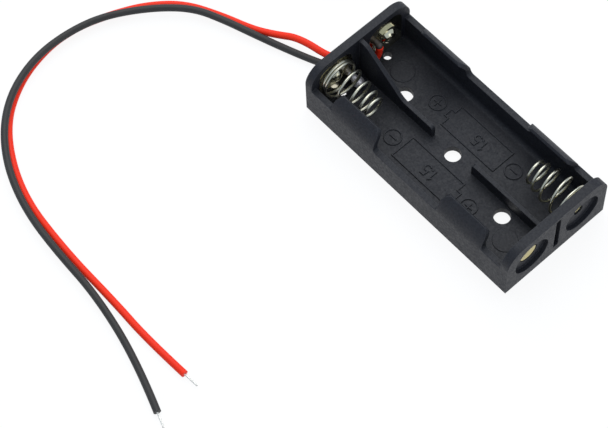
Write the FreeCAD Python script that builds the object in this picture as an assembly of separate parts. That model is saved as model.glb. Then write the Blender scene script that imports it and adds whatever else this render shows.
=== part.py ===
import FreeCAD, Part
import math
import os

# Open holder for two AAA cells lying side by side, in millimetres.
# The origin is the middle of the underside. X runs along the cells and the leads
# leave at -X, +Y is the bay of the red lead, and +Z is up.
# The moulded body is the same after half a turn about Z, apart from what serves the leads.

Vector = FreeCAD.Vector
X_AXIS = Vector(1, 0, 0)
Y_AXIS = Vector(0, 1, 0)
Z_AXIS = Vector(0, 0, 1)

# Moulded body
body_length = 52.0
body_width = 24.5
end_wall_height = 12.5
floor_thickness = 1.5
side_wall = 1.2
lead_end_wall = 1.6
far_end_wall = 1.8
shoulder_radius = 4.0
middle_wall_height = 6.6
corner_wall_height = 7.6
wall_foot_radius = 1.1
foot_edge_chamfer = 0.25

# Bays: the cell lies on the floor, close to the outer wall
cell_radius = 5.25
cell_clearance = 0.1
bay_radius = cell_radius + cell_clearance
bay_y = body_width / 2 - side_wall - bay_radius
cell_axis_z = floor_thickness + bay_radius

# Lips that snap over the cell, two on each side wall
lip_start = 8.2
lip_end = 19.2
lip_outer_radius = 5.6
lip_tangent_height = 6.5
lip_outer_angle = 54.0
lip_inner_angle = 44.0
lip_corner_radius = 1.8
lip_foot_radius = 0.8

# Divider between the bays, in two pieces that stop short of the middle hole
divider_thickness = 0.8
divider_height = 4.6
divider_start = 5.1
divider_corner_radius = 0.7
ramp_start = 13.0
ramp_end = 22.6
ramp_height = 12.0
ramp_blend_radius = 3.0

# Screw holes through the floor, and the core holes under the contacts
screw_hole_radius = 1.6
outer_hole_x = 15.1
outer_hole_y = 2.35
core_hole_radius = 0.85
core_hole_margin = 0.2

# Outer face of the far end wall: a round recess behind each contact, with a window
recess_radius = 4.0
recess_depth = 0.9
dimple_window_radius = 2.1
spring_window_radius = 1.1
groove_width = 1.2
groove_depth = 1.0
groove_bottom = 2.4
groove_top = 11.8

# Contacts: stamped sheet, let into pockets in the end walls, a little outside the bays' middle
sheet = 0.4
contact_offset = 0.5
contact_drop = 0.25
contact_y = bay_y + contact_offset
contact_z = cell_axis_z - contact_drop
contact_width = 8.0
contact_top = 11.0
contact_corner_radius = 2.4
contact_clearance = 0.05
pocket_depth = 0.5
bridge_strip_top = 4.2
lead_notch_width = 1.1
lead_notch_top = 3.3

# Pressings in the contacts: a domed button for the cell's cap, a boss inside each spring
button_radius = 2.3
button_step_height = 0.45
button_dome_radius = 1.6
button_height = 1.6
lead_button_shift = 0.3
lead_button_lift = 0.2
boss_radius = 1.5
boss_height = 1.1

# Conical springs
spring_wire = 0.55
spring_side_clearance = 0.825
spring_base_radius = bay_radius - contact_offset - spring_wire / 2 - spring_side_clearance
spring_tip_radius = 2.15
spring_length = 9.7
spring_close_turns = 1.5
spring_open_turns = 4.0
spring_tip_closing = 1.5
spring_points_per_turn = 12

# Leads: stranded wire in a plastic sleeve, with stripped and tinned ends
lead_diameter = 1.4
conductor_diameter = 0.5
stripped_length = 3.3
lead_slot_clearance = 0.15
red_slot = (-0.35, 3.25)
black_slot = (-3.9, -1.1)
lead_height = 2.3
lead_rest_z = lead_diameter / 2 + 0.02
crossing_z = lead_rest_z + lead_diameter + 3.0
arc_share = 0.45

# The red lead rises beside the divider to its contact, then runs out through the end wall
red_route = [
    Vector(-23.3, 3.6, 6.8),
    Vector(-23.1, 3.05, lead_height),
    Vector(-27.0, 0.0, lead_height),
    Vector(-31.6, -3.1, lead_height),
    Vector(-36.8, -3.4, 2.2),
    Vector(-40.6, -6.1, 1.2),
    Vector(-46.2, -8.3, lead_rest_z),
    Vector(-52.8, -10.7, lead_rest_z),
    Vector(-60.3, -15.2, lead_rest_z),
    Vector(-64.5, -21.1, lead_rest_z),
    Vector(-68.1, -27.6, lead_rest_z),
    Vector(-67.6, -34.4, lead_rest_z),
    Vector(-67.4, -42.2, lead_rest_z),
    Vector(-65.2, -48.8, lead_rest_z),
    Vector(-59.4, -55.9, lead_rest_z),
    Vector(-52.7, -59.6, lead_rest_z),
    Vector(-43.5, -62.7, lead_rest_z),
    Vector(-33.9, -63.7, lead_rest_z),
    Vector(-17.1, -64.1, lead_rest_z),
    Vector(-0.6, -63.9, lead_rest_z),
]

# The black lead lies inside the red one, passes over it and runs on outside it
black_route = [
    Vector(-23.7, -1.9, lead_height),
    Vector(-27.9, -3.6, lead_height),
    Vector(-33.0, -6.0, 1.7),
    Vector(-39.0, -7.5, 0.9),
    Vector(-45.7, -10.0, lead_rest_z),
    Vector(-52.3, -12.7, 0.9),
    Vector(-57.8, -15.8, 1.1),
    Vector(-62.2, -20.3, 1.8),
    Vector(-65.3, -26.4, crossing_z),
    Vector(-67.7, -34.1, crossing_z),
    Vector(-69.6, -41.4, 1.6),
    Vector(-68.3, -47.6, lead_rest_z),
    Vector(-64.6, -53.3, lead_rest_z),
    Vector(-58.6, -58.7, lead_rest_z),
    Vector(-50.8, -62.2, lead_rest_z),
    Vector(-42.2, -64.6, lead_rest_z),
    Vector(-33.1, -65.3, lead_rest_z),
    Vector(-20.1, -65.7, lead_rest_z),
    Vector(-8.2, -68.5, lead_rest_z),
    Vector(1.2, -71.8, lead_rest_z),
]

lead_wall_face = -body_length / 2 + lead_end_wall
far_wall_face = body_length / 2 - far_end_wall

# Solder joints: a round bead at the lead's end, with a neck down to the contact beside it
solder_depth = 0.3
red_solder_bead = Vector(lead_wall_face + 0.9, contact_y - 2.55, contact_z + 0.4)
red_solder_foot = Vector(lead_wall_face - solder_depth, contact_y - 2.45, contact_z + 0.7)
red_bead_radius = 0.7
black_solder_bead = Vector(lead_wall_face + 1.9, 3.63 - contact_y, floor_thickness + 1.1)
black_solder_foot = Vector(lead_wall_face - solder_depth, 3.4 - contact_y, floor_thickness + 1.95)
black_bead_radius = 1.15
solder_neck_share = 0.9
solder_foot_radius = 0.5


def block(x0, x1, y0, y1, z0, z1):
    """A box from its lowest to its highest corner."""
    return Part.makeBox(x1 - x0, y1 - y0, z1 - z0, Vector(x0, y0, z0))


def face_of(edges):
    return Part.Face(Part.Wire(edges))


def line(a, b):
    return Part.LineSegment(a, b).toShape()


def arc(a, middle, b):
    return Part.Arc(a, middle, b).toShape()


def on_circle(y, z, radius, degrees, x=0.0):
    """The point of a circle about X at that angle from +Y."""
    angle = math.radians(degrees)
    return Vector(x, y + radius * math.cos(angle), z + radius * math.sin(angle))


def mirrored_y(shape):
    return shape.mirror(Vector(0, 0, 0), Y_AXIS)


def rounded_panel(x0, x1, z1, radius, depth_y, z0=0.0):
    """A panel in XZ with its two top corners rounded, centred on Y=0."""
    turn = radius * (1 - math.sqrt(0.5))
    y = -depth_y / 2
    outline = face_of([
        line(Vector(x0, y, z0), Vector(x1, y, z0)),
        line(Vector(x1, y, z0), Vector(x1, y, z1 - radius)),
        arc(Vector(x1, y, z1 - radius), Vector(x1 - turn, y, z1 - turn), Vector(x1 - radius, y, z1)),
        line(Vector(x1 - radius, y, z1), Vector(x0 + radius, y, z1)),
        arc(Vector(x0 + radius, y, z1), Vector(x0 + turn, y, z1 - turn), Vector(x0, y, z1 - radius)),
        line(Vector(x0, y, z1 - radius), Vector(x0, y, z0)),
    ])
    return outline.extrude(Vector(0, depth_y, 0))


def end_wall(x0, thickness):
    """A wall across the end, with its top corners rounded down to the side walls."""
    panel = rounded_panel(-body_width / 2, body_width / 2, end_wall_height, shoulder_radius, thickness)
    panel.rotate(Vector(0, 0, 0), Z_AXIS, 90)
    panel.translate(Vector(x0 + thickness / 2, 0, 0))
    return panel


def lip_outline():
    """Section of the +Y wall where a lip curls over the cell."""
    outer_y = body_width / 2
    inner_y = outer_y - side_wall
    outer_centre = outer_y - lip_outer_radius
    outer_tip = on_circle(outer_centre, lip_tangent_height, lip_outer_radius, lip_outer_angle)
    outer_middle = on_circle(outer_centre, lip_tangent_height, lip_outer_radius, lip_outer_angle / 2)
    inner_tip = on_circle(bay_y, cell_axis_z, bay_radius, lip_inner_angle)
    inner_middle = on_circle(bay_y, cell_axis_z, bay_radius, lip_inner_angle / 2)
    return face_of([
        line(Vector(0, inner_y, 0), Vector(0, outer_y, 0)),
        line(Vector(0, outer_y, 0), Vector(0, outer_y, lip_tangent_height)),
        arc(Vector(0, outer_y, lip_tangent_height), outer_middle, outer_tip),
        line(outer_tip, inner_tip),
        arc(inner_tip, inner_middle, Vector(0, inner_y, cell_axis_z)),
        line(Vector(0, inner_y, cell_axis_z), Vector(0, inner_y, 0)),
    ])


def lip_foot(x, outward, wall_height):
    """The hollow curve at the foot of a lip's end, as a panel in XZ."""
    y = -body_width
    radius = lip_foot_radius
    turn = radius * (1 - math.sqrt(0.5))
    corner = Vector(x, y, wall_height)
    outline = face_of([
        line(corner, Vector(x, y, wall_height + radius)),
        arc(Vector(x, y, wall_height + radius), Vector(x + outward * turn, y, wall_height + turn),
            Vector(x + outward * radius, y, wall_height)),
        line(Vector(x + outward * radius, y, wall_height), corner),
    ])
    return outline.extrude(Vector(0, 2 * body_width, 0))


def lip(x0, x1, heights):
    """One lip of the +Y wall as seen from the side: round upper corners, hollow feet on the wall."""
    reach = lip_foot_radius
    curl = lip_outline().extrude(Vector(x1 - x0 + 2 * reach, 0, 0))
    curl.translate(Vector(x0 - reach, 0, 0))
    top = lip_tangent_height + lip_outer_radius * math.sin(math.radians(lip_outer_angle))
    panel = rounded_panel(x0, x1, top, lip_corner_radius, 2 * body_width)
    feet = [lip_foot(x0, -1, heights[0]), lip_foot(x1, 1, heights[1])]
    return curl.common(panel.fuse(feet).removeSplitter())


def wall_foot(x0, x1):
    """The hollow curve between the floor and the +Y wall."""
    y = body_width / 2 - side_wall
    z = floor_thickness
    corner = Vector(x0, y, z)
    turn = wall_foot_radius * (1 - math.sqrt(0.5))
    outline = face_of([
        line(corner, Vector(x0, y, z + wall_foot_radius)),
        arc(Vector(x0, y, z + wall_foot_radius), Vector(x0, y - turn, z + turn),
            Vector(x0, y - wall_foot_radius, z)),
        line(Vector(x0, y - wall_foot_radius, z), corner),
    ])
    return outline.extrude(Vector(x1 - x0, 0, 0))


def side_wall_pieces():
    """The +Y side wall: low in the middle, higher at the corners, with two lips."""
    half = body_length / 2
    y0, y1 = body_width / 2 - side_wall, body_width / 2
    return [
        block(-half, half, y0, y1, 0, middle_wall_height),
        block(-half, -lip_end, y0, y1, 0, corner_wall_height),
        block(lip_end, half, y0, y1, 0, corner_wall_height),
        lip(-lip_end, -lip_start, (corner_wall_height, middle_wall_height)),
        lip(lip_start, lip_end, (middle_wall_height, corner_wall_height)),
        wall_foot(-half + lead_end_wall, half - far_end_wall),
    ]


def low_divider():
    """The divider at the far end, level up to the bridge contact."""
    flat_end = far_wall_face + divider_corner_radius
    return rounded_panel(divider_start, flat_end, divider_height, divider_corner_radius, divider_thickness)


def ramp_divider():
    """The divider at the lead end, which rises to the end wall between the two contacts."""
    wall = -body_length / 2
    rise = ramp_height - divider_height
    slope = math.atan2(rise, ramp_end - ramp_start)
    setback = ramp_blend_radius * math.tan(slope / 2)
    y = -divider_thickness / 2

    def blend(corner_x, corner_z, upward):
        """The arc that takes the level top into the ramp, or the ramp into the level top."""
        level = Vector(corner_x + (setback if upward else -setback), y, corner_z)
        sign = -1 if upward else 1
        on_ramp = Vector(corner_x + sign * setback * math.cos(slope), y,
                         corner_z - sign * setback * math.sin(slope))
        lift = ramp_blend_radius * (1 if upward else -1)
        centre = Vector(level.x, y, corner_z + lift)
        half_slope = slope / 2
        middle = Vector(centre.x - lift * math.sin(half_slope), y, centre.z - lift * math.cos(half_slope))
        return level, middle, on_ramp

    foot_level, foot_middle, foot_ramp = blend(-ramp_start, divider_height, True)
    top_level, top_middle, top_ramp = blend(-ramp_end, ramp_height, False)
    radius = divider_corner_radius
    turn = radius * (1 - math.sqrt(0.5))
    start = -divider_start
    outline = face_of([
        line(Vector(wall, y, 0), Vector(start, y, 0)),
        line(Vector(start, y, 0), Vector(start, y, divider_height - radius)),
        arc(Vector(start, y, divider_height - radius),
            Vector(start - turn, y, divider_height - turn), Vector(start - radius, y, divider_height)),
        line(Vector(start - radius, y, divider_height), foot_level),
        arc(foot_level, foot_middle, foot_ramp),
        line(foot_ramp, top_ramp),
        arc(top_ramp, top_middle, top_level),
        line(top_level, Vector(wall, y, ramp_height)),
        line(Vector(wall, y, ramp_height), Vector(wall, y, 0)),
    ])
    return outline.extrude(Vector(0, divider_thickness, 0))


def contact_panel(centre_y, thickness, clearance):
    """A contact's outline along X, grown by a clearance: rounded at the top corners."""
    half = contact_width / 2 + clearance
    top = contact_top + clearance
    panel = rounded_panel(-half, half, top, contact_corner_radius, thickness, floor_thickness)
    panel.rotate(Vector(0, 0, 0), Z_AXIS, 90)
    panel.translate(Vector(0, centre_y, 0))
    return panel


def contact_pockets():
    """Shallow pockets in the inner faces of the end walls, one for each contact."""
    cuts = []
    for y in (-contact_y, contact_y):
        cuts.append(contact_pocket(lead_wall_face, -1, y))
        cuts.append(contact_pocket(far_wall_face, 1, y))
    reach = contact_y
    top = bridge_strip_top + contact_clearance
    cuts.append(block(far_wall_face, far_wall_face + pocket_depth, -reach, reach, floor_thickness, top))
    return cuts


def contact_pocket(wall_face, outward, centre_y):
    pocket = contact_panel(centre_y, pocket_depth, contact_clearance)
    pocket.translate(Vector(wall_face + outward * pocket_depth / 2, 0, 0))
    return pocket


def floor_holes():
    """Screw holes on the middle line and beside it, and core holes under the contacts."""
    depth = 2 * floor_thickness
    below = -floor_thickness / 2

    def hole(x, y, radius):
        return Part.makeCylinder(radius, depth, Vector(x, y, below))

    from_wall = core_hole_radius + core_hole_margin
    cuts = [
        hole(0, 0, screw_hole_radius),
        hole(outer_hole_x, -outer_hole_y, screw_hole_radius),
        hole(-outer_hole_x, outer_hole_y, screw_hole_radius),
    ]
    for y in (-bay_y, bay_y):
        cuts.append(hole(lead_wall_face + from_wall, y, core_hole_radius))
        cuts.append(hole(far_wall_face - from_wall, y, core_hole_radius))
    return cuts


def far_wall_cuts():
    """The round recesses, their windows and the groove behind the divider."""
    outside = body_length / 2
    cuts = [
        block(outside - groove_depth, outside + groove_depth, -groove_width / 2, groove_width / 2,
              groove_bottom, groove_top)
    ]
    for y, window in ((-contact_y, dimple_window_radius), (contact_y, spring_window_radius)):
        cuts.append(Part.makeCylinder(recess_radius, 2 * recess_depth,
                                      Vector(outside - recess_depth, y, contact_z), X_AXIS))
        cuts.append(Part.makeCylinder(window, 2 * far_end_wall,
                                      Vector(outside - 1.5 * far_end_wall, y, contact_z), X_AXIS))
    return cuts


def lead_slot(y0, y1):
    """A slot with round ends through the lead end wall, for one lead that passes it aslant."""
    radius = lead_diameter / 2 + lead_slot_clearance
    x0 = -body_length / 2 - lead_end_wall / 2
    depth = 2 * lead_end_wall
    slot = block(x0, x0 + depth, y0 + radius, y1 - radius, lead_height - radius, lead_height + radius)
    for end in (y0 + radius, y1 - radius):
        slot = slot.fuse(Part.makeCylinder(radius, depth, Vector(x0, end, lead_height), X_AXIS))
    return slot.removeSplitter()


def holder_body():
    """The whole moulding in one piece."""
    half = body_length / 2
    wall_pieces = side_wall_pieces()
    pieces = wall_pieces + [mirrored_y(piece) for piece in wall_pieces]
    pieces += [end_wall(-half, lead_end_wall), end_wall(far_wall_face, far_end_wall)]
    pieces += [low_divider(), ramp_divider()]
    solid = block(-half, half, -body_width / 2, body_width / 2, 0, floor_thickness)
    solid = solid.fuse(pieces).removeSplitter()
    cuts = floor_holes() + far_wall_cuts() + contact_pockets() + [lead_slot(*red_slot), lead_slot(*black_slot)]
    solid = solid.cut(cuts).removeSplitter()
    bottom_edges = [
        edge for edge in solid.Edges
        if edge.BoundBox.ZMax < 1e-6 and max(edge.BoundBox.XLength, edge.BoundBox.YLength) > body_width / 2
    ]
    return solid.makeChamfer(foot_edge_chamfer, bottom_edges)


def plate_face(wall_face, inward):
    """Where the front of a contact lies in its pocket."""
    return wall_face - inward * (pocket_depth - sheet)


def contact_plate(wall_face, inward, centre_y):
    """A sheet with rounded top corners, in its pocket."""
    plate = contact_panel(centre_y, sheet, 0)
    plate.translate(Vector(plate_face(wall_face, inward) - inward * sheet / 2, 0, 0))
    return plate


def lead_notch(side):
    """The corner of a lead end contact that is cut away for its lead."""
    inner = contact_y - contact_width / 2
    y0, y1 = sorted([side * (inner - lead_notch_width), side * (inner + lead_notch_width)])
    x = lead_wall_face
    return block(x - 2 * pocket_depth, x + 2 * pocket_depth, y0, y1, 0, lead_notch_top)


def round_dome(foot_radius, foot, height):
    """A dome about X, from its foot's place along X to its height."""
    rise = height - foot
    sphere_radius = (foot_radius ** 2 + rise ** 2) / (2 * rise)
    centre = Vector(height - sphere_radius, 0, 0)
    behind = foot - 2 * sphere_radius
    dome = Part.makeSphere(sphere_radius, centre)
    cut_off = Part.makeCylinder(2 * sphere_radius, foot - behind, Vector(behind, 0, 0), X_AXIS)
    return dome.cut(cut_off), Part.makeSphere(sphere_radius - sheet, centre)


def button():
    """A round step with a dome on it, for the cell's cap: its front, and the hollow behind it."""
    dome, inside = round_dome(button_dome_radius, button_step_height, button_height)
    step = Part.makeCylinder(button_radius, button_step_height, Vector(0, 0, 0), X_AXIS)
    hollow = Part.makeCylinder(button_radius - sheet, button_step_height, Vector(-sheet, 0, 0), X_AXIS)
    return step.fuse(dome), hollow.fuse(inside)


def boss():
    """The round boss that keeps a spring on its plate: its front, and the hollow behind it."""
    return round_dome(boss_radius, 0, boss_height)


def with_pressing(plate, made, wall_face, inward, y, z):
    """Press a shape out of a plate into the bay, one sheet thick, open at the back."""
    front, hollow = made
    for shape in (front, hollow):
        if inward < 0:
            shape.rotate(Vector(0, 0, 0), Z_AXIS, 180)
        shape.translate(Vector(plate_face(wall_face, inward), y, z))
    return plate.fuse(front).cut(hollow).removeSplitter()


def positive_contact():
    """The red lead's contact, whose button sits a little off its middle."""
    plate = contact_plate(lead_wall_face, 1, contact_y).cut(lead_notch(1))
    y = contact_y + lead_button_shift
    z = contact_z + lead_button_lift
    return with_pressing(plate, button(), lead_wall_face, 1, y, z)


def negative_contact():
    """The black lead's contact, inside the lead end spring."""
    plate = contact_plate(lead_wall_face, 1, -contact_y).cut(lead_notch(-1))
    return with_pressing(plate, boss(), lead_wall_face, 1, -contact_y, contact_z)


def bridge_contact():
    """One sheet behind both cells: a button for the near cell, a boss for the far one's spring."""
    front = plate_face(far_wall_face, -1)
    strip = block(front, front + sheet, -contact_y, contact_y, floor_thickness, bridge_strip_top)
    plates = [contact_plate(far_wall_face, -1, y) for y in (-contact_y, contact_y)]
    plate = strip.fuse(plates).removeSplitter()
    plate = with_pressing(plate, button(), far_wall_face, -1, -contact_y, contact_z)
    return with_pressing(plate, boss(), far_wall_face, -1, contact_y, contact_z)


def spring_path():
    """Centre line of a spring about X, from its base at X=0: close turns, then a cone."""
    turns = spring_close_turns + spring_open_turns
    count = int(turns * spring_points_per_turn)
    close_rise = spring_close_turns * (spring_wire + contact_clearance)
    points = []
    for index in range(count + 1):
        turn = turns * index / count
        closed = min(turn, spring_close_turns) / spring_close_turns
        opened = max(0.0, turn - spring_close_turns) / spring_open_turns
        rise = closed * close_rise
        rise += (spring_length - close_rise) * (1 - (1 - opened) ** spring_tip_closing)
        radius = spring_base_radius + (spring_tip_radius - spring_base_radius) * opened
        angle = 2 * math.pi * turn
        points.append(Vector(rise, radius * math.cos(angle), radius * math.sin(angle)))
    curve = Part.BSplineCurve()
    curve.interpolate(points)
    return curve


def spring(wall_face, inward, y):
    """A conical spring, its base on the contact plate."""
    curve = spring_path()
    path = Part.Wire([curve.toShape()])
    tangent = curve.tangent(curve.FirstParameter)[0]
    ring = Part.Wire([Part.Circle(curve.value(curve.FirstParameter), tangent, spring_wire / 2).toShape()])
    solid = path.makePipeShell([ring], True, True)
    if inward < 0:
        solid.rotate(Vector(0, 0, 0), Z_AXIS, 180)
    seat = plate_face(wall_face, inward) + inward * (spring_wire / 2 + contact_clearance)
    solid.translate(Vector(seat, y, contact_z))
    return solid


def rounded_path(route):
    """Straight runs joined by tangent arcs, each as large as its two runs allow."""
    edges = []
    radii = []
    length = 0.0
    start = route[0]
    for before, corner, after in zip(route, route[1:], route[2:]):
        back = before - corner
        ahead = after - corner
        shorter = min(back.Length, ahead.Length)
        back.normalize()
        ahead.normalize()
        turn = math.pi - back.getAngle(ahead)
        setback = arc_share * shorter
        radius = setback / math.tan(turn / 2)
        inward = back + ahead
        inward.normalize()
        enter = corner + back * setback
        leave = corner + ahead * setback
        middle = corner + inward * (radius / math.cos(turn / 2) - radius)
        edges += [line(start, enter), arc(enter, middle, leave)]
        length += (enter - start).Length + radius * turn
        radii.append(round(radius, 1))
        start = leave
    edges.append(line(start, route[-1]))
    length += (route[-1] - start).Length
    return Part.Wire(edges), radii, length


def lead(route, name):
    """The insulated lead as one round tube along its route."""
    path, radii, length = rounded_path(route)
    ring = Part.Wire([Part.Circle(route[0], route[1] - route[0], lead_diameter / 2).toShape()])
    solid = path.makePipeShell([ring], True, False)
    ideal = math.pi * (lead_diameter / 2) ** 2 * length
    print(name, "length", round(length, 1), "volume over section times length", round(solid.Volume / ideal, 5))
    print(name, "radii", radii)
    return solid


def lead_tip(route):
    """The tinned conductor beyond the insulation, in line with the last run."""
    direction = route[-1] - route[-2]
    return Part.makeCylinder(conductor_diameter / 2, stripped_length, route[-1], direction)


def solder_joint(foot, bead, radius, neighbours):
    """A bead of solder on its neck, flat against whatever it meets."""
    along = bead - foot
    neck = Part.makeCone(solder_foot_radius, solder_neck_share * radius, along.Length, foot, along)
    return Part.makeSphere(radius, bead).fuse(neck).cut(neighbours)


def build():
    """Every piece of the holder, by its node's name."""
    body = holder_body()
    positive = positive_contact()
    negative = negative_contact()
    red = lead(red_route, "red_lead")
    black = lead(black_route, "black_lead")
    red_joint = solder_joint(red_solder_foot, red_solder_bead, red_bead_radius, [red, positive, body])
    black_joint = solder_joint(black_solder_foot, black_solder_bead, black_bead_radius,
                               [black, negative, body])
    return {
        "holder_body": body,
        "positive_contact": positive,
        "negative_contact": negative,
        "bridge_contact": bridge_contact(),
        "lead_end_spring": spring(lead_wall_face, 1, -contact_y),
        "far_end_spring": spring(far_wall_face, -1, contact_y),
        "red_lead": red,
        "black_lead": black,
        "red_lead_tip": lead_tip(red_route),
        "black_lead_tip": lead_tip(black_route),
        "red_solder_joint": red_joint,
        "black_solder_joint": black_joint,
    }


os.makedirs("parts", exist_ok=True)
for node, shape in build().items():
    box = shape.BoundBox
    print(node, shape.isValid(), len(shape.Solids), "volume", round(shape.Volume, 2),
          "x", round(box.XMin, 2), round(box.XMax, 2), "y", round(box.YMin, 2), round(box.YMax, 2),
          "z", round(box.ZMin, 2), round(box.ZMax, 2))
    shape.exportStep("parts/" + node + ".step")
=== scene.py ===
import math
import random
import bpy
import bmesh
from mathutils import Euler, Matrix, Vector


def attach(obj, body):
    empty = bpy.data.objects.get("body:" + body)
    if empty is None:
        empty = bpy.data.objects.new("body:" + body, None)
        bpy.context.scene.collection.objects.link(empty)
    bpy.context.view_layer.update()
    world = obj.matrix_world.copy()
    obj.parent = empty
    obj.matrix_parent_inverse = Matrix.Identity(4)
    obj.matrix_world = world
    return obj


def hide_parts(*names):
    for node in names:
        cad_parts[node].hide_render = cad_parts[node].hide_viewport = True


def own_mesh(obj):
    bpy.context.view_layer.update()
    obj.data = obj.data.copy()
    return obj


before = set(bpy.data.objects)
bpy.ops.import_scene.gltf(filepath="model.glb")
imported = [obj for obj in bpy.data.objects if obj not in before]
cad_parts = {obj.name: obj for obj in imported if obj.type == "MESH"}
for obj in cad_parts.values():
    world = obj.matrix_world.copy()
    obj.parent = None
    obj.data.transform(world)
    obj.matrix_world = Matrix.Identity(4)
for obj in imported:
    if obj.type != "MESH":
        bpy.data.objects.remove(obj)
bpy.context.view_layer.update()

# %% [markdown]
# # A holder for two AAA cells
#
# The real object is a black moulded tray with two bays. Each bay has a nickel-plated
# contact at one end and a conical spring at the other, and two thin leads leave through
# the end wall. The tray, the contacts and the solder arrive as CAD nodes, which keep
# their shape and get their finish here. The springs, the leads and their stripped ends
# are built again in finer detail, one contact gets a closer back, and the low ridges on
# the floor are added. Then everything is lit as on a product photograph. Lengths are in
# metres in Blender, so sizes written in millimetres go through mm().

MILLIMETRE = 0.001


def mm(*values):
    """A point or a vector written in millimetres."""
    return Vector(values) * MILLIMETRE


print("CAD nodes:", sorted(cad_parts))

# %% [markdown]
# ## The camera
#
# The photograph looks down on the tray from its right-hand front, over one corner. A
# long lens from a fair distance keeps the tray's sides almost parallel, as they are in
# the picture. The angles, the distance and the lens were fitted to the corners of the
# tray and to the places of its holes, and the camera aims between the tray and the
# loop of the leads, because both have to be in the frame.

# %% Camera
camera_azimuth = math.radians(50.83)
camera_elevation = math.radians(62.22)
camera_roll = math.radians(-3.36)
camera_distance = 0.3974
camera_aim = mm(-9.93, -27.45, 0.0)
camera_lens = 130.9
camera_sensor = 36.0
camera_nearest = 0.01

camera_data = bpy.data.cameras.new("photo_camera")
camera_data.sensor_fit = "HORIZONTAL"
camera_data.sensor_width = camera_sensor
camera_data.lens = camera_lens
camera_data.clip_start = camera_nearest
camera = bpy.data.objects.new("photo_camera", camera_data)
bpy.context.scene.collection.objects.link(camera)
bpy.context.scene.camera = camera

camera_turn = Euler((math.pi / 2 - camera_elevation, 0, camera_azimuth)).to_matrix()
camera_turn = camera_turn @ Matrix.Rotation(camera_roll, 3, "Z")
camera_place = camera_aim + camera_turn.col[2] * camera_distance
camera.matrix_world = Matrix.Translation(camera_place) @ camera_turn.to_4x4()
print("camera stands at", [round(value, 4) for value in camera_place])

# %% [markdown]
# ## The leads
#
# Each lead is a soft copper core in a plastic sleeve 1.4 mm thick. It comes up beside
# its contact, leaves through a slot in the end wall, drops to the table and lies there
# in one wide, loose loop. A NURBS curve with a round bevel is the natural tool: a few
# given points bend it the way a limp wire bends, and the bevel gives the
# sleeve. The black lead leans on the red one along most of the loop, so its points there
# are higher by up to one lead's thickness, and it comes down to the table near its end.

# %% Route of the red lead
slot_height = 2.3
lying_height = 0.72

red_route = [
    (-23.3, 3.6, 6.8),
    (-23.1, 3.05, slot_height),
    (-27.0, 0.0, slot_height),
    (-29.6, -2.6, slot_height),
    (-37.1, -3.9, 2.2),
    (-41.1, -6.2, 1.2),
    (-45.2, -8.4, lying_height),
    (-51.5, -10.7, lying_height),
    (-58.4, -14.1, lying_height),
    (-63.1, -19.6, lying_height),
    (-66.1, -25.9, lying_height),
    (-68.2, -32.1, lying_height),
    (-68.6, -39.2, lying_height),
    (-66.1, -48.1, lying_height),
    (-60.0, -56.2, lying_height),
    (-47.7, -62.4, lying_height),
    (-33.0, -63.9, lying_height),
    (-19.2, -63.9, lying_height),
    (-10.0, -64.3, lying_height),
    (-0.5, -63.8, lying_height),
]
print("the red lead's route has", len(red_route), "points")

# %% Route of the black lead
black_route = [
    (-23.7, -1.9, slot_height),
    (-27.9, -3.6, slot_height),
    (-32.5, -4.9, 0.9),
    (-38.2, -7.1, 1.0),
    (-43.7, -9.2, 1.4),
    (-49.6, -11.2, 1.6),
    (-55.8, -13.9, 1.9),
    (-61.3, -19.5, 1.8),
    (-66.0, -27.2, 1.9),
    (-67.8, -34.2, 1.9),
    (-67.8, -41.8, 2.1),
    (-65.7, -48.8, 2.1),
    (-62.0, -54.4, 2.1),
    (-57.0, -58.7, 1.9),
    (-50.7, -62.0, 1.7),
    (-43.0, -64.2, 1.5),
    (-33.9, -65.2, 1.6),
    (-22.1, -65.6, 1.4),
    (-8.1, -68.3, lying_height),
    (1.7, -71.9, lying_height),
]
print("the black lead's route has", len(black_route), "points")

# %% Sleeves along the routes
lead_diameter = 1.4
curve_order = 3
curve_steps = 16
sleeve_roundness = 6


def lead(name, route):
    """A sleeve along the smooth line of a route."""
    data = bpy.data.curves.new(name, "CURVE")
    data.dimensions = "3D"
    spline = data.splines.new("NURBS")
    spline.points.add(len(route) - 1)
    for point, place in zip(spline.points, route):
        point.co = (*mm(*place), 1.0)
        point.radius = MILLIMETRE
    spline.order_u = curve_order
    spline.use_endpoint_u = True
    data.resolution_u = curve_steps
    data.bevel_depth = lead_diameter / 2
    data.bevel_resolution = sleeve_roundness
    data.use_fill_caps = True
    piece = bpy.data.objects.new(name, data)
    bpy.context.scene.collection.objects.link(piece)
    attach(piece, "holder")
    return piece


red_lead = lead("red_lead_sleeve", red_route)
black_lead = lead("black_lead_sleeve", black_route)
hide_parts("red_lead")
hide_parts("black_lead")
print("sleeves:", red_lead.name, "and", black_lead.name)

# %% [markdown]
# ## Wires as tubes
#
# A spring's wire and the strands at a lead's end are round wires on a path that a
# formula gives. A curve object could be bevelled along it, but a mesh built ring by
# ring keeps its wire round where the path turns in space, and its ends can be cut
# square with a small burr-free chamfer, as cut wire has. Each ring's frame is carried
# over from the ring before it, so the tube never twists.

# %% Rings of a tube
def path_tangent(points, index):
    """Direction of a path at one of its points."""
    before = points[max(index - 1, 0)]
    after = points[min(index + 1, len(points) - 1)]
    return (after - before).normalized()


def add_ring(shape, centre, across, over, radius, sides):
    """One ring of points about a centre."""
    ring = []
    for side in range(sides):
        angle = 2 * math.pi * side / sides
        offset = across * math.cos(angle) + over * math.sin(angle)
        ring.append(shape.verts.new(centre + offset * radius))
    return ring


# %% Tube along a path
chamfer_share = 0.25


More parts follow.
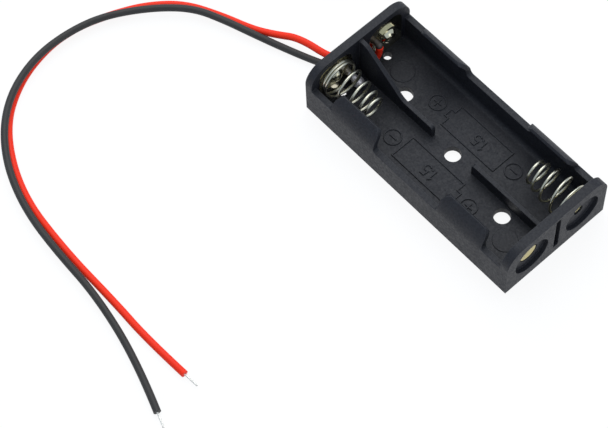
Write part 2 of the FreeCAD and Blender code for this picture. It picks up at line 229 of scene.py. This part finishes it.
def add_tube(shape, points, radius, sides):
    """A round wire along the points, with chamfered ends."""
    tangent = path_tangent(points, 0)
    across = tangent.orthogonal().normalized()
    chamfer = radius * chamfer_share
    rings = []
    last = len(points) - 1
    for index, point in enumerate(points):
        tangent = path_tangent(points, index)
        across = (across - tangent * across.dot(tangent)).normalized()
        over = tangent.cross(across)
        if index == 0:
            rings.append(add_ring(shape, point, across, over, radius - chamfer, sides))
            point = point + tangent * chamfer
        if index == last:
            point = point - tangent * chamfer
        rings.append(add_ring(shape, point, across, over, radius, sides))
        if index == last:
            end = point + tangent * chamfer
            rings.append(add_ring(shape, end, across, over, radius - chamfer, sides))
    for near, far in zip(rings, rings[1:]):
        for side in range(sides):
            after = (side + 1) % sides
            shape.faces.new((near[side], near[after], far[after], far[side]))
    shape.faces.new(rings[0][::-1])
    shape.faces.new(rings[-1])


# %% Wires as one piece
def mesh_piece(name, mesh, body, smooth=True):
    """A mesh object that rides on one body."""
    for face in mesh.polygons:
        face.use_smooth = smooth
    piece = bpy.data.objects.new(name, mesh)
    bpy.context.scene.collection.objects.link(piece)
    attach(piece, body)
    return piece


def tubes_piece(name, paths, radius, body, sides):
    """One mesh piece made of round wires."""
    shape = bmesh.new()
    for points in paths:
        add_tube(shape, points, radius, sides)
    mesh = bpy.data.meshes.new(name)
    shape.to_mesh(mesh)
    shape.free()
    return mesh_piece(name, mesh, body)


# %% [markdown]
# ## The stripped ends
#
# About 3 mm of each lead is bare: seven fine copper strands, twisted together and
# tinned. At this scale the twist shows only as a broken highlight, but a plain rod
# would look like a pin. Six strands wind about a straight one. Each is a helix that
# a formula gives, and the cut leaves them slightly uneven, with a fixed random seed.

# %% Line of a strand
strand_turns = 1.1
strand_steps = 36


def strand_path(start, direction, ring_radius, first_angle, length):
    """A helix about the lead's last run, or its axis when the radius is nought."""
    across = direction.orthogonal().normalized()
    over = direction.cross(across)
    points = []
    for step in range(strand_steps + 1):
        share = step / strand_steps
        angle = first_angle + 2 * math.pi * strand_turns * share
        offset = across * math.cos(angle) + over * math.sin(angle)
        points.append(start + direction * length * share + offset * ring_radius)
    return points


# %% Twisted strands
conductor_diameter = 0.42
stripped_length = 3.2
strands_across = 3
outer_strands = 6
strand_diameter = conductor_diameter / strands_across
strand_sides = 8
inside_sleeve = 0.4
strand_unevenness = 0.25


def stripped_end(name, route, node, seed):
    """Seven tinned strands beyond the end of a sleeve."""
    picker = random.Random(seed)
    end = mm(*route[-1])
    direction = (end - mm(*route[-2])).normalized()
    start = end - direction * inside_sleeve * MILLIMETRE
    whole = stripped_length + inside_sleeve
    paths = [strand_path(start, direction, 0.0, 0.0, whole * MILLIMETRE)]
    for strand in range(outer_strands):
        length = whole - picker.uniform(0.0, strand_unevenness)
        angle = 2 * math.pi * strand / outer_strands
        ring = strand_diameter * MILLIMETRE
        paths.append(strand_path(start, direction, ring, angle, length * MILLIMETRE))
    radius = strand_diameter / 2 * MILLIMETRE
    piece = tubes_piece(name, paths, radius, "holder", strand_sides)
    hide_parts(node)
    return piece


red_tip = stripped_end("red_lead_strands", red_route, "red_lead_tip", seed=3)
black_tip = stripped_end("black_lead_strands", black_route, "black_lead_tip", seed=8)
print("each stripped end has", outer_strands + 1, "strands,", round(strand_diameter, 3), "mm thick")

# %% [markdown]
# ## What the leads are
#
# A curve only shows where a lead lies. The real leads leave the holder, are limp, lie loose
# and end bare, with their strands as their last piece.

# %% [markdown]
# ## The conical springs
#
# A cell's flat end is pushed by a cone of plated spring wire. Its widest coils lie
# close together on the contact, and the narrow end reaches into the bay. The wire
# follows a helix whose radius shrinks and whose pitch grows less towards the tip, and
# a formula gives that line better than modelling by hand. The spring rides on its own
# body, with its base coil on the contact.

# %% Line of a spring
spring_wire = 0.55
spring_base_radius = 3.75
spring_tip_radius = 2.15
spring_length = 9.7
spring_close_turns = 1.5
spring_open_turns = 4.0
spring_tip_closing = 1.5
spring_steps_per_turn = 48
spring_clearance = 0.05


def spring_line():
    """Centre line of a spring about X, from its base at X=0."""
    turns = spring_close_turns + spring_open_turns
    steps = int(turns * spring_steps_per_turn)
    close_rise = spring_close_turns * (spring_wire + spring_clearance)
    points = []
    for step in range(steps + 1):
        turn = turns * step / steps
        closed = min(turn, spring_close_turns) / spring_close_turns
        opened = max(0.0, turn - spring_close_turns) / spring_open_turns
        rise = closed * close_rise
        rise += (spring_length - close_rise) * (1 - (1 - opened) ** spring_tip_closing)
        radius = spring_base_radius + (spring_tip_radius - spring_base_radius) * opened
        angle = 2 * math.pi * turn
        points.append(mm(rise, radius * math.cos(angle), radius * math.sin(angle)))
    return points


print("a spring has", spring_close_turns + spring_open_turns, "turns in", len(spring_line()), "points")

# %% Springs on their contacts
spring_sides = 16
spring_side = 6.2
spring_z = 6.6
lead_plate_x = -24.5
far_plate_x = 24.3


def spring(name, body, node, plate_x, inward):
    """A conical spring with its base on the contact's face at plate_x."""
    seat = plate_x + inward * (spring_wire / 2 + spring_clearance)
    side = spring_side * -inward
    place = Matrix.Translation(mm(seat, side, spring_z))
    if inward < 0:
        place = place @ Matrix.Rotation(math.pi, 4, "Z")
    points = [place @ point for point in spring_line()]
    piece = tubes_piece(name, [points], spring_wire / 2 * MILLIMETRE, body, spring_sides)
    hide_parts(node)
    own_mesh(piece)
    return piece


lead_end_spring = spring("lead_end_coils", "lead_end_spring_coils",
                         "lead_end_spring", lead_plate_x, 1)
far_end_spring = spring("far_end_coils", "far_end_spring_coils",
                        "far_end_spring", far_plate_x, -1)
print("springs:", lead_end_spring.name, "and", far_end_spring.name)

# %% [markdown]
# ## The back of the bridge contact
#
# One bent sheet serves both bays at the far end. Seen from outside, through the round
# window in the end wall, the back of its button is a shallow, warm-coloured dish almost
# level with the plastic. The CAD sheet is open there right up into its dome, which looks
# like a dark tube. The new piece is the CAD sheet with only that back surface drawn up
# to the window, so its outline, its button and its boss stay as they were made.

# %% Shallow dish behind the button
dish_axis = (-spring_side, spring_z)
dish_radius = 1.95
dish_rim_x = 25.0
dish_depth = 0.22
sheet_back_x = 24.7
sheet_tolerance = 0.05
least_facing = 0.05
crease_angle = math.radians(25)


def dish_x(radius):
    """Where the dish lies along X at a distance from its axis."""
    return dish_rim_x - dish_depth * max(0.0, 1 - (radius / dish_radius) ** 2)


def bridge_sheet():
    """The bridge contact with a shallow back behind its button.

    A point belongs to that back if it is raised off the sheet, lies near the button's
    axis and touches a face that looks towards the window.
    """
    shape = bmesh.new()
    shape.from_mesh(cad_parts["bridge_contact"].data)
    moved = 0
    for corner in shape.verts:
        x, y, z = corner.co / MILLIMETRE
        radius = math.hypot(y - dish_axis[0], z - dish_axis[1])
        raised = radius < dish_radius and x < sheet_back_x - sheet_tolerance
        if raised and any(face.normal.x > least_facing for face in corner.link_faces):
            corner.co.x = dish_x(radius) * MILLIMETRE
            moved += 1
    mesh = bpy.data.meshes.new("bridge_sheet")
    shape.to_mesh(mesh)
    shape.free()
    if "custom_normal" in mesh.attributes:
        mesh.attributes.remove(mesh.attributes["custom_normal"])
    piece = mesh_piece("bridge_sheet", mesh, "holder")
    mesh.set_sharp_from_angle(angle=crease_angle)
    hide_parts("bridge_contact")
    print("the dish behind the button has", moved, "points")
    return piece


bridge_piece = bridge_sheet()

# %% [markdown]
# ## Moulded marks
#
# The mould leaves low ridges on the floor of each bay: the outline of a cell, a plus and
# a minus sign in circles, the cell's voltage as a plain number, and the round mark of an
# ejector pin. A bump could fake them, but real ridges catch the light at every angle.
# Each ridge follows a flat path with mitred corners and
# has sloped sides, as a mould needs to let the part go. The second bay repeats the first
# after half a turn, except for the number, which reads the same way in both.

# %% Paths on the floor
circle_steps = 40


def circle_path(centre, radius):
    """Points round a circle on the floor."""
    points = []
    for step in range(circle_steps):
        angle = 2 * math.pi * step / circle_steps
        points.append(centre + Vector((radius * math.cos(angle), radius * math.sin(angle))))
    return points


def side_of(start, end):
    """Unit vector to the left of a run."""
    run = (end - start).normalized()
    return Vector((-run.y, run.x))


def moved_aside(path, closed, distance):
    """A path moved to its left, with mitred corners."""
    last = len(path) - 1
    moved = []
    for index, point in enumerate(path):
        sides = []
        if closed or index > 0:
            sides.append(side_of(path[index - 1], point))
        if closed or index < last:
            sides.append(side_of(point, path[(index + 1) % len(path)]))
        mitre = sum(sides, Vector((0.0, 0.0))).normalized()
        moved.append(point + mitre * (distance / mitre.dot(sides[0])))
    return moved


# %% Ridges along the paths
floor_top = 1.5
ridge_width = 0.34
ridge_slope = 0.08
ridge_height = 0.20
ridge_sunk = 0.03


def add_ridge(shape, path, closed=False):
    """A low ridge with sloped sides along a path on the floor."""
    half = ridge_width / 2
    section = [(-half, -ridge_sunk), (-half + ridge_slope, ridge_height),
               (half - ridge_slope, ridge_height), (half, -ridge_sunk)]
    rows = []
    for aside, rise in section:
        line = moved_aside(path, closed, aside)
        rows.append([shape.verts.new(mm(place.x, place.y, floor_top + rise)) for place in line])
    for near, far in zip(rows, rows[1:] + rows[:1]):
        for index in range(len(path) if closed else len(path) - 1):
            after = (index + 1) % len(path)
            shape.faces.new((near[index], near[after], far[after], far[index]))
    if not closed:
        shape.faces.new([row[0] for row in rows])
        shape.faces.new([row[-1] for row in rows[::-1]])


# %% The marks of one bay
cell_mark_x = (-7.4, 5.95)
cell_mark_y = (-8.15, -2.8)
cell_nub_x = 6.9
cell_nub_y = (-6.4, -4.6)
sign_radius = 1.62
sign_arm = 0.85
minus_centre = Vector((-10.0, -5.5))
plus_centre = Vector((9.7, -5.5))


def bay_paths():
    """Closed and open ridges of the near bay, without its number."""
    foot, head = cell_mark_x
    near, far = cell_mark_y
    nub_near, nub_far = cell_nub_y
    outline = [(foot, near), (head, near), (head, nub_near), (cell_nub_x, nub_near),
               (cell_nub_x, nub_far), (head, nub_far), (head, far), (foot, far)]
    closed = [
        [Vector(place) for place in outline],
        circle_path(minus_centre, sign_radius),
        circle_path(plus_centre, sign_radius),
    ]
    along = Vector((sign_arm, 0.0))
    over = Vector((0.0, sign_arm))
    inner = Vector((0.0, ridge_width / 2 - ridge_slope))
    opened = [
        [minus_centre - along, minus_centre + along],
        [plus_centre - along, plus_centre + along],
        [plus_centre + inner, plus_centre + over],
        [plus_centre - inner, plus_centre - over],
    ]
    return closed, opened


print("closed and open ridges of a bay:", [len(paths) for paths in bay_paths()])

# %% Round marks
ejector_centre = Vector((18.95, -5.4))
ejector_radius = 2.4
round_mark_height = 0.12
round_mark_slope = 0.12


def add_round_mark(shape, centre, outer_radius):
    """A low round step, as an ejector pin leaves, or the point of a number."""
    rings = []
    for radius, rise in ((outer_radius, -ridge_sunk),
                         (outer_radius - round_mark_slope, round_mark_height)):
        rings.append([shape.verts.new(mm(place.x, place.y, floor_top + rise))
                      for place in circle_path(centre, radius)])
    lower, upper = rings
    for index in range(len(lower)):
        after = (index + 1) % len(lower)
        shape.faces.new((lower[index], lower[after], upper[after], upper[index]))
    shape.faces.new(upper)
    shape.faces.new(lower[::-1])


# %% The plain number
digit_half = 1.1
one_flag = (-1.15, 0.65)
one_stem_x = -0.75
five_right_x = 1.45
five_left_x = 0.55
five_neck = (0.42, 0.02)
bowl_x = 0.90
bowl_radius = 0.62
# The arc of the bowl runs clockwise, in degrees.
bowl_first = 110
bowl_last = -140
bowl_step = 25
point_radius = 0.30
point_place = Vector((-0.08, -digit_half + point_radius))
number_places = (Vector((-0.05, -5.75)), Vector((1.75, 5.2)))


def number_paths():
    """Strokes of the 1 and the 5 of 1.5, in millimetres from the number's place."""
    one = [Vector(one_flag), Vector((one_stem_x, digit_half)), Vector((one_stem_x, -digit_half))]
    bowl_centre = Vector((bowl_x, -digit_half + bowl_radius))
    five = [Vector((five_right_x, digit_half)), Vector((five_left_x, digit_half)), Vector(five_neck)]
    for degrees in range(bowl_first, bowl_last - 1, -bowl_step):
        angle = math.radians(degrees)
        five.append(bowl_centre + Vector((math.cos(angle), math.sin(angle))) * bowl_radius)
    return [one, five]


print("the number has", len(number_paths()), "strokes and a point")

# %% Marks of both bays
def moulded_marks():
    """All ridges and round marks on the floor, as one piece."""
    shape = bmesh.new()
    closed, opened = bay_paths()
    for turn in (1, -1):
        for path in closed:
            add_ridge(shape, [place * turn for place in path], closed=True)
        for path in opened:
            add_ridge(shape, [place * turn for place in path])
        add_round_mark(shape, ejector_centre * turn, ejector_radius)
    for place in number_places:
        for path in number_paths():
            add_ridge(shape, [place - stroke for stroke in path])
        add_round_mark(shape, place - point_place, point_radius)
    bmesh.ops.recalc_face_normals(shape, faces=shape.faces[:])
    mesh = bpy.data.meshes.new("moulded_marks")
    shape.to_mesh(mesh)
    shape.free()
    piece = mesh_piece("moulded_marks", mesh, "holder", smooth=False)
    return piece


floor_marks = moulded_marks()
print("the floor marks have", len(floor_marks.data.polygons), "faces")

# %% [markdown]
# ## Shared surface effects
#
# No moulded or plated surface is quite even. Three effects come back on several
# pieces, so each is a node group with its own inputs: a fine grain, soft smudges that
# change the shine, and the small round that every real edge has. The groups put out
# only values and normals that vary. The shaders stay in each material.

# %% Node helpers
def new_group(name, inputs, outputs):
    """An empty node group with named sockets, and its input and output nodes."""
    group = bpy.data.node_groups.new(name, "ShaderNodeTree")
    for socket, kind, value in inputs:
        made = group.interface.new_socket(socket, in_out="INPUT", socket_type=kind)
        made.default_value = value
    for socket, kind in outputs:
        group.interface.new_socket(socket, in_out="OUTPUT", socket_type=kind)
    return group, group.nodes.new("NodeGroupInput"), group.nodes.new("NodeGroupOutput")


def add_node(tree, kind, **settings):
    """A node with its settings, for a group or a material."""
    node = tree.nodes.new(kind)
    for setting, value in settings.items():
        setattr(node, setting, value)
    return node


def add_noise(tree, scale, detail):
    """A noise texture on the object's own coordinates."""
    noise = add_node(tree, "ShaderNodeTexNoise")
    noise.inputs["Detail"].default_value = detail
    own_place = add_node(tree, "ShaderNodeTexCoord").outputs["Object"]
    tree.links.new(own_place, noise.inputs["Vector"])
    if isinstance(scale, float):
        noise.inputs["Scale"].default_value = scale
    else:
        tree.links.new(scale, noise.inputs["Scale"])
    return noise.outputs["Fac"]


def add_range(tree, value, low, high, start=0.3, end=0.7):
    """A value remapped from its start and end to low and high."""
    node = add_node(tree, "ShaderNodeMapRange")
    tree.links.new(value, node.inputs["Value"])
    node.inputs["From Min"].default_value = start
    node.inputs["From Max"].default_value = end
    for socket, limit in (("To Min", low), ("To Max", high)):
        if isinstance(limit, float):
            node.inputs[socket].default_value = limit
        else:
            tree.links.new(limit, node.inputs[socket])
    return node.outputs["Result"]


# %% Group: fine grain
grain, grain_in, grain_out = new_group(
    "fine_grain",
    [("Scale", "NodeSocketFloat", 6000.0)],
    [("Height", "NodeSocketFloat"), ("Tone", "NodeSocketFloat")],
)
grain_height = add_noise(grain, grain_in.outputs["Scale"], detail=3.0)
grain_mottle = add_noise(grain, scale=3200.0, detail=4.0)
grain_tone = add_range(grain, grain_mottle, low=0.0, high=1.0)
grain.links.new(grain_height, grain_out.inputs["Height"])
grain.links.new(grain_tone, grain_out.inputs["Tone"])
print("group", grain.name, "is ready")

# %% Group: soft smudges
smudge, smudge_in, smudge_out = new_group(
    "soft_smudges",
    [("Scale", "NodeSocketFloat", 150.0),
     ("Least", "NodeSocketFloat", 0.3),
     ("Most", "NodeSocketFloat", 0.5)],
    [("Roughness", "NodeSocketFloat"), ("Mask", "NodeSocketFloat")],
)
smudge_mask = add_noise(smudge, smudge_in.outputs["Scale"], detail=5.0)
smudge_roughness = add_range(smudge, smudge_mask, smudge_in.outputs["Least"],
                             smudge_in.outputs["Most"])
smudge.links.new(smudge_roughness, smudge_out.inputs["Roughness"])
smudge.links.new(smudge_mask, smudge_out.inputs["Mask"])
print("group", smudge.name, "is ready")

# %% Group: rounded edges
edges, edges_in, edges_out = new_group(
    "rounded_edges",
    [("Radius", "NodeSocketFloat", 0.0002)],
    [("Normal", "NodeSocketVector"), ("Edge", "NodeSocketFloat")],
)
bevel = add_node(edges, "ShaderNodeBevel", samples=6)
flat = add_node(edges, "ShaderNodeNewGeometry")
match = add_node(edges, "ShaderNodeVectorMath", operation="DOT_PRODUCT")
edges.links.new(edges_in.outputs["Radius"], bevel.inputs["Radius"])
edges.links.new(bevel.outputs["Normal"], match.inputs[0])
edges.links.new(flat.outputs["Normal"], match.inputs[1])
# This mask marks the edges that the tray's colour paints paler, as wear and as painted highlight.
edge_mask = add_range(edges, match.outputs["Value"], low=1.0, high=0.0, start=0.80, end=0.99)
edges.links.new(bevel.outputs["Normal"], edges_out.inputs["Normal"])
edges.links.new(edge_mask, edges_out.inputs["Edge"])
print("group", edges.name, "is ready")

# %% [markdown]
# ## Materials
#
# Every finish is a Principled shader whose colour, shine and bump vary through the
# groups. The helpers below place a group, mix two colours and add a bump, so that each
# recipe after them reads as a short list of what the surface is like.

# %% Placing a group and a bump in a material
grain_depth = 0.00003


def new_material(name):
    """A material, its node tree and its Principled shader."""
    material = bpy.data.materials.new(name)
    material.use_nodes = True
    tree = material.node_tree
    return material, tree, tree.nodes["Principled BSDF"]


def add_group(tree, group, **values):
    """A placed group with its input values."""
    node = add_node(tree, "ShaderNodeGroup", node_tree=group)
    for socket, value in values.items():
        node.inputs[socket].default_value = value
    return node


def add_mix(tree, factor, dark, light):
    """A colour between two colours."""
    mix = add_node(tree, "ShaderNodeMix", data_type="RGBA")
    tree.links.new(factor, mix.inputs["Factor"])
    for socket, colour in (("A", dark), ("B", light)):
        target = next(entry for entry in mix.inputs
                      if entry.name == socket and entry.type == "RGBA")
        if isinstance(colour, tuple):
            target.default_value = (*colour, 1.0)
        else:
            tree.links.new(colour, target)
    return next(entry for entry in mix.outputs if entry.type == "RGBA")


def add_bump(tree, shader, height, strength, normal=None):
    """A bump that feeds the shader's normal."""
    bump = add_node(tree, "ShaderNodeBump")
    bump.inputs["Strength"].default_value = strength
    bump.inputs["Distance"].default_value = grain_depth
    tree.links.new(height, bump.inputs["Height"])
    if normal is not None:
        tree.links.new(normal, bump.inputs["Normal"])
    tree.links.new(bump.outputs["Normal"], shader.inputs["Normal"])


# %% [markdown]
# ## Black moulded plastic
#
# The tray looks grey in a white studio because its skin reflects the light around it, so
# its own colour stays nearly black and the shine does the rest. It could be one even
# shade, but a moulding has a fine grain and a slightly uneven satin, and its edges are
# painted a little paler, partly as wear and partly as a painted highlight along each
# edge. These keep the large flat walls from looking painted.

# %% Black moulded plastic
plastic_dark = (0.009, 0.0095, 0.0135)
plastic_pale = (0.022, 0.023, 0.029)
# Colour of the edges: partly wear, partly a painted highlight along each edge.
plastic_wear_and_highlight = (0.060, 0.060, 0.066)


def black_plastic():
    """Satin moulded plastic with a fine grain; edges painted paler, partly wear, partly painted
    highlight.
    """
    material, tree, shader = new_material("black_moulded_plastic")
    shader.inputs["Specular IOR Level"].default_value = 0.30
    fine = add_group(tree, grain, Scale=4200.0)
    smudges = add_group(tree, smudge, Scale=2400.0, Least=0.46, Most=0.68)
    rounded = add_group(tree, edges, Radius=0.00018)
    body = add_mix(tree, fine.outputs["Tone"], plastic_dark, plastic_pale)
    # The edges are painted paler here: partly wear, partly a painted highlight along each edge.
    wear_and_highlight = add_mix(tree, rounded.outputs["Edge"], body, plastic_wear_and_highlight)
    tree.links.new(wear_and_highlight, shader.inputs["Base Color"])
    tree.links.new(smudges.outputs["Roughness"], shader.inputs["Roughness"])
    add_bump(tree, shader, fine.outputs["Height"], strength=0.5, normal=rounded.outputs["Normal"])
    return material


plastic = black_plastic()
print("made", plastic.name)

# %% [markdown]
# ## Metals
#
# Contacts and springs are nickel plated, with a faint warm tone. The stripped ends and
# the solder are paler and duller. One recipe serves them all, because they differ only in
# tone and shine: both drift softly between two values. The solder is metal only in part,
# since a dull bead scatters more light than it mirrors. The red lead's bead is painted
# nearly black, as painted shade for the dark corner it sits in.

# %% Nickel plate, spring wire and solder
def plated_metal(name, dull, bright, least, most, bump, metal_share=1.0):
    """Bright plated or soldered metal, with soft changes of colour and shine."""
    material, tree, shader = new_material(name)
    shader.inputs["Metallic"].default_value = metal_share
    fine = add_group(tree, grain, Scale=2500.0)
    smudges = add_group(tree, smudge, Scale=260.0, Least=least, Most=most)
    colour = add_mix(tree, smudges.outputs["Mask"], dull, bright)
    tree.links.new(colour, shader.inputs["Base Color"])
    tree.links.new(smudges.outputs["Roughness"], shader.inputs["Roughness"])
    add_bump(tree, shader, fine.outputs["Height"], strength=bump)
    return material


plate = plated_metal("nickel_plate", dull=(0.68, 0.64, 0.47), bright=(0.80, 0.76, 0.59),
                     least=0.12, most=0.20, bump=0.01)
wire = plated_metal("plated_spring_wire", dull=(0.54, 0.52, 0.42), bright=(0.70, 0.68, 0.57),
                    least=0.24, most=0.36, bump=0.05)
tinned = plated_metal("tinned_strands", dull=(0.84, 0.82, 0.78), bright=(0.94, 0.93, 0.89),
                      least=0.34, most=0.48, bump=0.10)
solder = plated_metal("dull_solder", dull=(0.90, 0.84, 0.88), bright=(0.98, 0.93, 0.96),
                      least=0.36, most=0.48, bump=0.25, metal_share=0.65)
# The red lead's bead is painted nearly black: painted shade for its dark corner.
shade_dark_solder = plated_metal("solder_painted_dark", dull=(0.05, 0.04, 0.035), bright=(0.14, 0.12, 0.11),
                      least=0.40, most=0.60, bump=0.25, metal_share=0.5)
print("made", [made.name for made in (plate, wire, tinned, solder, shade_dark_solder)])

# %% [markdown]
# ## Two tones on one sheet
#
# The bridge sheet is bright on the side of the cells and a dull gold where it shows
# through the window. It is one piece with one material, so the material tells the two
# apart by their place along X: the dull tone starts at the back of the flat sheet and is
# complete a twentieth of a millimetre beyond it, before the dish begins.

# %% Dull back of the bridge sheet
tone_change = 0.05


def dull_beyond(material, from_x, tone):
    """Give what lies beyond a place along X a duller tone."""
    tree = material.node_tree
    shader = tree.nodes["Principled BSDF"]
    bright = shader.inputs["Base Color"].links[0].from_socket
    place = add_node(tree, "ShaderNodeSeparateXYZ")
    tree.links.new(add_node(tree, "ShaderNodeTexCoord").outputs["Object"], place.inputs["Vector"])
    behind = add_range(tree, place.outputs["X"], low=0.0, high=1.0, start=from_x,
                       end=from_x + tone_change * MILLIMETRE)
    tree.links.new(add_mix(tree, behind, bright, tone), shader.inputs["Base Color"])


bridge_plate = plated_metal("bridge_nickel_plate", dull=(0.80, 0.75, 0.55),
                            bright=(0.92, 0.88, 0.68), least=0.10, most=0.18, bump=0.01)
dull_beyond(bridge_plate, sheet_back_x * MILLIMETRE, tone=(0.47, 0.41, 0.20))
print("made", bridge_plate.name)

# %% [markdown]
# ## Sleeves of the leads
#
# Soft vinyl mirrors less than the hard tray and has no worn edges, so it needs only a
# slow drift of its colour and shine and a weak grain.

# %% Plastic sleeves
def sleeve_plastic(name, deep, pale, least, most):
    """Soft, slightly glossy sleeve of a lead."""
    material, tree, shader = new_material(name)
    shader.inputs["Specular IOR Level"].default_value = 0.22
    fine = add_group(tree, grain, Scale=1800.0)
    smudges = add_group(tree, smudge, Scale=250.0, Least=least, Most=most)
    colour = add_mix(tree, smudges.outputs["Mask"], deep, pale)
    tree.links.new(colour, shader.inputs["Base Color"])
    tree.links.new(smudges.outputs["Roughness"], shader.inputs["Roughness"])
    add_bump(tree, shader, fine.outputs["Height"], strength=0.25)
    return material


red_sleeve = sleeve_plastic("red_sleeve_plastic", deep=(0.94, 0.026, 0.006),
                            pale=(1.00, 0.040, 0.010), least=0.42, most=0.54)
black_sleeve = sleeve_plastic("black_sleeve_plastic", deep=(0.034, 0.032, 0.031),
                              pale=(0.052, 0.050, 0.048), least=0.40, most=0.52)
print("made", red_sleeve.name, "and", black_sleeve.name)

# %% [markdown]
# ## Giving each piece its finish
#
# Each piece gets exactly one material, because each is made of one stuff. The list of
# materials is cleared first, so nothing that a CAD node came with stays behind.

# %% Giving each piece its finish
def finish_with(piece, material):
    """The one finish of a piece or of a CAD node."""
    piece.data.materials.clear()
    piece.data.materials.append(material)


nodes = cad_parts
finishes = [
    (nodes["holder_body"], plastic),
    (nodes["positive_contact"], plate),
    (nodes["negative_contact"], plate),
    (nodes["red_solder_joint"], shade_dark_solder),
    (nodes["black_solder_joint"], solder),
    (red_lead, red_sleeve),
    (black_lead, black_sleeve),
    (red_tip, tinned),
    (black_tip, tinned),
    (lead_end_spring, wire),
    (far_end_spring, wire),
    (bridge_piece, bridge_plate),
    (floor_marks, plastic),
]
for piece, material in finishes:
    finish_with(piece, material)
print("finished", len(finishes), "pieces")

# %% [markdown]
# ## The table and the light
#
# The photograph was taken on a white table in soft white light, with no hard shadow. The
# table is a plane that shows itself as white to the camera and to reflections, while a
# small part of its shade stays real, so that the holder and the leads still touch it.

# %% Table
table_size = 4.0
table_gap = 0.00002

table_mesh = bpy.data.meshes.new("table")
half = table_size / 2
table_mesh.from_pydata(
    [(-half, -half, -table_gap), (half, -half, -table_gap),
     (half, half, -table_gap), (-half, half, -table_gap)],
    [], [(0, 1, 2, 3)])
table = bpy.data.objects.new("table", table_mesh)
bpy.context.scene.collection.objects.link(table)
print("the table is", table_size, "m wide")

# %% White that keeps a faint shadow
table_white_share = 0.86
table_glow = 1.05
table_roughness = 0.9
table_colour = (0.80, 0.81, 0.84, 1.0)
glow_colour = (1.0, 1.0, 1.0, 1.0)


def seen_directly(tree):
    """One where a ray comes from the camera, a reflection or through glass."""
    path = add_node(tree, "ShaderNodeLightPath")
    seen = path.outputs["Is Camera Ray"]
    for ray in ("Is Glossy Ray", "Is Transmission Ray"):
        either = add_node(tree, "ShaderNodeMath", operation="MAXIMUM")
        tree.links.new(seen, either.inputs[0])
        tree.links.new(path.outputs[ray], either.inputs[1])
        seen = either.outputs["Value"]
    return seen


def white_table():
    """A matt white table that stays white around the object's faint shadow."""
    material, tree, shader = new_material("white_table")
    shader.inputs["Base Color"].default_value = table_colour
    shader.inputs["Roughness"].default_value = table_roughness
    glow = add_node(tree, "ShaderNodeEmission")
    glow.inputs["Color"].default_value = glow_colour
    glow.inputs["Strength"].default_value = table_glow
    share = add_node(tree, "ShaderNodeMath", operation="MULTIPLY")
    tree.links.new(seen_directly(tree), share.inputs[0])
    share.inputs[1].default_value = table_white_share
    mix = add_node(tree, "ShaderNodeMixShader")
    tree.links.new(share.outputs["Value"], mix.inputs["Fac"])
    tree.links.new(shader.outputs["BSDF"], mix.inputs[1])
    tree.links.new(glow.outputs["Emission"], mix.inputs[2])
    tree.links.new(mix.outputs["Shader"], tree.nodes["Material Output"].inputs["Surface"])
    return material


finish_with(table, white_table())
print("share of the table that stays white:", table_white_share)

# %% [markdown]
# ## The light
#
# A slightly bluish world stands for a white tent that wraps the holder in soft light. Two
# sheets of light give it form. The large one hangs high beyond the holder, across from
# the camera, so the tops of the walls and the wires shine towards the viewer. The small,
# weak one stands lower, facing the end wall with the windows, which would be too dark
# without it. Area lamps suit this better than points, since their shadows stay soft.

# %% Light from the tent
tent_strength = 0.66
tent_colour = (0.76, 0.87, 1.0, 1.0)

world = bpy.data.worlds.new("white_tent")
bpy.context.scene.world = world
world.use_nodes = True
tent = world.node_tree
tent_light = tent.nodes["Background"]
tent_light.inputs["Color"].default_value = tent_colour
tent_level = add_node(tent, "ShaderNodeMapRange")
tent_path = add_node(tent, "ShaderNodeLightPath")
tent_level.inputs["To Min"].default_value = tent_strength
tent_level.inputs["To Max"].default_value = 1.0
tent.links.new(tent_path.outputs["Is Camera Ray"], tent_level.inputs["Value"])
tent.links.new(tent_level.outputs["Result"], tent_light.inputs["Strength"])
print("the tent's strength is", tent_strength)

# %% Two sheets of light
overhead_place = Vector((-0.23, 0.19, 0.5))
overhead_size = 0.6
overhead_power = 2.4
overhead_colour = (1.0, 0.99, 0.96)
side_place = Vector((0.48, 0.10, 0.26))
side_size = 0.30
side_power = 0.22
side_colour = (1.0, 0.98, 0.92)


def soft_sheet(name, place, size, power, colour):
    """A square sheet of light that faces the holder."""
    data = bpy.data.lights.new(name, "AREA")
    data.shape = "SQUARE"
    data.size = size
    data.energy = power
    data.color = colour
    lamp = bpy.data.objects.new(name, data)
    bpy.context.scene.collection.objects.link(lamp)
    lamp.location = place
    lamp.rotation_euler = (-lamp.location).to_track_quat("-Z", "Y").to_euler()


soft_sheet("overhead_sheet", overhead_place, overhead_size, overhead_power, overhead_colour)
soft_sheet("side_sheet", side_place, side_size, side_power, side_colour)
print("two sheets of light,", overhead_power, "and", side_power, "W")

bpy.context.scene.view_settings.view_transform = "Standard"

# %% [markdown]
# ## The last update
#
# The last step brings the view layer up to date.

# %% Bringing the scene up to date
bpy.context.view_layer.update()
